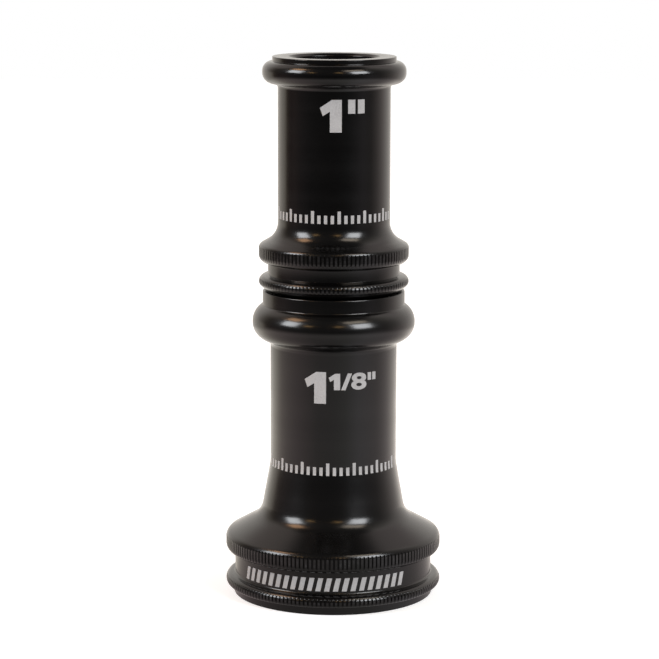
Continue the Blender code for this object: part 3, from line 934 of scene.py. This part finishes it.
def room_ramp(nodes, links, azimuth, stops):
    """Colour round the room at one elevation."""
    ramp = nodes.new("ShaderNodeValToRGB")
    elements = ramp.color_ramp.elements
    while len(elements) > 1:
        elements.remove(elements[-1])
    for count, (degrees, red, green, blue) in enumerate(stops):
        position = degrees / 360.0 + 0.5
        element = elements[0] if count == 0 else elements.new(position)
        element.position = position
        element.color = (red, green, blue, 1.0)
    links.new(azimuth, ramp.inputs[0])
    return ramp.outputs[0]


def add_room():
    """Surroundings: white behind and beside the object, dark in front, pale table below."""
    world = bpy.data.worlds.new("room")
    world.use_nodes = True
    bpy.context.scene.world = world
    nodes = world.node_tree.nodes
    links = world.node_tree.links
    nodes.clear()

    def node(kind, **settings):
        result = nodes.new(kind)
        for key, value in settings.items():
            setattr(result, key, value)
        return result

    direction = node("ShaderNodeTexCoord")
    parts = node("ShaderNodeSeparateXYZ")
    links.new(direction.outputs["Generated"], parts.inputs[0])
    ahead = node("ShaderNodeMath", operation="MULTIPLY")
    links.new(parts.outputs[1], ahead.inputs[0])
    ahead.inputs[1].default_value = -1.0
    turn = node("ShaderNodeMath", operation="ARCTAN2")
    links.new(parts.outputs[0], turn.inputs[0])
    links.new(ahead.outputs[0], turn.inputs[1])
    azimuth = node("ShaderNodeMapRange")
    links.new(turn.outputs[0], azimuth.inputs["Value"])
    azimuth.inputs["From Min"].default_value = -math.pi
    azimuth.inputs["From Max"].default_value = math.pi

    def step(low_degrees, high_degrees):
        result = node("ShaderNodeMapRange", interpolation_type="SMOOTHSTEP")
        links.new(parts.outputs[2], result.inputs["Value"])
        result.inputs["From Min"].default_value = math.sin(math.radians(low_degrees))
        result.inputs["From Max"].default_value = math.sin(math.radians(high_degrees))
        return result.outputs[0]

    def mix(factor, first, second):
        result = node("ShaderNodeMix", data_type="RGBA")
        links.new(factor, result.inputs[0])
        links.new(first, result.inputs[6])
        if isinstance(second, tuple):
            result.inputs[7].default_value = second
        else:
            links.new(second, result.inputs[7])
        return result.outputs[2]

    level = room_ramp(nodes, links, azimuth.outputs[0], ROOM_LEVEL)
    above = room_ramp(nodes, links, azimuth.outputs[0], ROOM_ABOVE)
    below = room_ramp(nodes, links, azimuth.outputs[0], ROOM_BELOW)
    high = room_ramp(nodes, links, azimuth.outputs[0], ROOM_HIGH)
    zenith = room_ramp(nodes, links, azimuth.outputs[0], ROOM_ZENITH)
    colour = mix(step(-45, -14), below, level)
    colour = mix(step(-4, 6), colour, above)
    colour = mix(step(24, 42), colour, high)
    colour = mix(step(58, 67), colour, zenith)

    rays = node("ShaderNodeLightPath")
    seen = mix(rays.outputs["Is Camera Ray"], colour, WHITE)
    background = node("ShaderNodeBackground")
    links.new(seen, background.inputs["Color"])
    output = node("ShaderNodeOutputWorld")
    links.new(background.outputs[0], output.inputs[0])


def floor_white():
    """White floor whose reflected glow is painted light that fades with the distance, like a table
    in a dark room: painted shade near the object, a painted pool of light beyond.
    """
    shader = Shader("floor_white")
    parts = shader.nodes.new("ShaderNodeSeparateXYZ")
    shader.links.new(shader.place(), parts.inputs[0])
    ahead = shader.math("MULTIPLY", parts.outputs[1], -1.0)
    turn = shader.math("ARCTAN2", parts.outputs[0], ahead)
    azimuth = shader.remap(turn, -math.pi, math.pi, 0.0, 1.0)
    near = room_ramp(shader.nodes, shader.links, azimuth, PAINTED_TABLE_LIGHT)
    far = room_ramp(shader.nodes, shader.links, azimuth, ROOM_LEVEL)
    across = shader.math("MULTIPLY", parts.outputs[0], parts.outputs[0])
    square = shader.math("MULTIPLY_ADD", ahead, ahead, across)
    away = shader.math("SQRT", square)
    # Painted shade close to the object, then a painted pool of light on the table further out.
    rise = shader.remap(away, *TABLE_RISE, 1.0, PAINTED_POOL_GAIN)
    fall = shader.remap(away, *TABLE_FALL, PAINTED_POOL_GAIN, 1.0)
    boost = shader.nodes.new("ShaderNodeCombineXYZ")
    pool_and_shade_gain = shader.math("MINIMUM", rise, fall)
    for socket in boost.inputs:
        shader.links.new(pool_and_shade_gain, socket)
    painted_near_table = shader.mix(1.0, near, boost.outputs[0], "MULTIPLY")
    glow = shader.mix(shader.remap(away, *TABLE_FADE, 0.0, 1.0), painted_near_table, far)
    # The camera sees an evenly white, lit floor; in reflections the floor is black and its glow is
    # the painted table light.
    seen = shader.nodes.new("ShaderNodeLightPath").outputs["Is Camera Ray"]
    surface = shader.surface.inputs
    shader.wire(surface["Base Color"], shader.mix(seen, BLACK, FLOOR_WHITE))
    shader.wire(surface["Emission Color"], shader.mix(seen, glow, FLOOR_GLOW))
    surface["Emission Strength"].default_value = 1.0
    surface["Roughness"].default_value = 1.0
    surface["Specular IOR Level"].default_value = 0.0
    return shader.material


def add_floor(height):
    """Plain white floor that runs into the white behind it."""
    mesh = bpy.data.meshes.new("floor")
    corners = [(-FLOOR_HALF, -FLOOR_HALF, height), (FLOOR_HALF, -FLOOR_HALF, height),
               (FLOOR_HALF, FLOOR_HALF, height), (-FLOOR_HALF, FLOOR_HALF, height)]
    mesh.from_pydata(corners, [], [(0, 1, 2, 3)])
    mesh.materials.append(floor_white())
    floor = bpy.data.objects.new("floor", mesh)
    bpy.context.scene.collection.objects.link(floor)


# The object and its stage.


def stand_in(part, body, node):
    """Let a piece ride on a body in the place of a CAD node."""
    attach(part, body)
    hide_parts(node)


def add_lower_tip(shoulder, finish):
    """Lower tip; returns its outline."""
    low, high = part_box("lower_tip_body")
    outside = lower_tip_outside(low.z, shoulder, high.x)
    part = piece("lower_tip", lower_tip_mesh(outside, low.z, shoulder, high.z, high.x), finish)
    stand_in(part, "lower_tip", "lower_tip_body")
    return outside


def add_upper_tip(shoulder, finish):
    """Upper tip; returns its outline."""
    low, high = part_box("upper_tip_body")
    outside = upper_tip_outside(low.z, high.z)
    part = piece("upper_tip", upper_tip_mesh(outside, low.z, high.z, shoulder), finish)
    stand_in(part, "upper_tip", "upper_tip_body")
    return outside


def add_gasket(name, inner, finish, body, node):
    """Flat gasket in its recess."""
    low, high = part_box(node)
    part = piece(name, gasket_mesh(inner, high.x, low.z, high.z), finish)
    stand_in(part, body, node)


def add_mark(name, bm, outline, radius, body, finish):
    """Printed mark on the outside of a tip."""
    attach(piece(name, wrapped(bm, outline, radius), finish), body)


def add_upper_marks(outline, finish):
    """Orifice size and scale on the upper barrel."""
    mark = bmesh.new()
    add_one(mark, *UPPER_ONE)
    add_inch_sign(mark, *UPPER_INCH_SIGN)
    add_mark("upper_size_mark", mark, outline, TIP_BARREL_RADIUS, "upper_tip", finish)

    mark = bmesh.new()
    add_scale(mark, *UPPER_SCALE)
    add_mark("upper_print_scale", mark, outline, TIP_BARREL_RADIUS, "upper_tip", finish)


def add_lower_marks(outline, finish):
    """Orifice size and scale on the lower barrel, and the bars on the base."""
    mark = bmesh.new()
    add_one(mark, *LOWER_ONE)
    add_one(mark, *SMALL_ONE)
    add_bar(mark, *FRACTION_BAR, FRACTION_SLANT)
    add_figures(mark, "8", *SMALL_EIGHT, SMALL_EIGHT_WEIGHT)
    add_inch_sign(mark, *LOWER_INCH_SIGN)
    add_mark("lower_size_mark", mark, outline, BARREL_RADIUS, "lower_tip", finish)

    mark = bmesh.new()
    add_scale(mark, *LOWER_SCALE)
    add_mark("lower_print_scale", mark, outline, BARREL_RADIUS, "lower_tip", finish)

    mark = bmesh.new()
    for bar in range(round((BARS_END - BARS_START) / BAR_PITCH) + 1):
        left = BARS_START + bar * BAR_PITCH
        add_bar(mark, left, left + BAR_WIDTH, BARS_LOW, BARS_HIGH, BAR_SLANT)
    add_mark("base_print_bars", mark, outline, BASE_WAIST, "lower_tip", finish)


def add_stage(low, high):
    """Camera, lights, room and floor round the CAD box."""
    middle = Vector((0.0, 0.0, (low.z + high.z) / 2))
    add_camera(middle.z - CAMERA_AIM_DROP)
    for light in LIGHTS:
        add_light(*light, middle)
    add_room()
    add_floor(low.z - FLOOR_GAP)
    bpy.context.scene.view_settings.view_transform = "Standard"


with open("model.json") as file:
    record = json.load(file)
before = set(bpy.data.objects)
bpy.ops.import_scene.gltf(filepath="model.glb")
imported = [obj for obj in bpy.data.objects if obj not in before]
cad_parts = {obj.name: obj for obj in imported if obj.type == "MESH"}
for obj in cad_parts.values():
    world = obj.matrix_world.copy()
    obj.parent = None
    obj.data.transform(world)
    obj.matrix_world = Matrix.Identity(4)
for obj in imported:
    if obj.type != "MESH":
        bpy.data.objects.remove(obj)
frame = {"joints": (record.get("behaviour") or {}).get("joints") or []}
cad_low, cad_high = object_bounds()
unscrewing = next(joint for joint in frame["joints"] if joint["name"] == "tip_unscrew")
shoulder_height = unscrewing["pos_m"][2]

lower_finish = anodised("anodised_lower", LOWER_FILM, LOWER_ROUGHNESS)
upper_finish = anodised("anodised_upper", UPPER_FILM, UPPER_ROUGHNESS)
inlet_rubber = rubber("inlet_rubber", INLET_RUBBER)
joint_rubber = rubber("joint_rubber", JOINT_RUBBER)
grey = print_grey()

lower_outline = add_lower_tip(shoulder_height, lower_finish)
upper_outline = add_upper_tip(shoulder_height, upper_finish)
add_gasket("inlet_gasket_ring", INLET_GASKET_INNER, inlet_rubber,
           "lower_tip", "inlet_gasket")
add_gasket("tip_gasket_ring", TIP_GASKET_INNER, joint_rubber,
           "joint_gasket", "tip_joint_gasket")
add_upper_marks(upper_outline, grey)
add_lower_marks(lower_outline, grey)
add_stage(cad_low, cad_high)
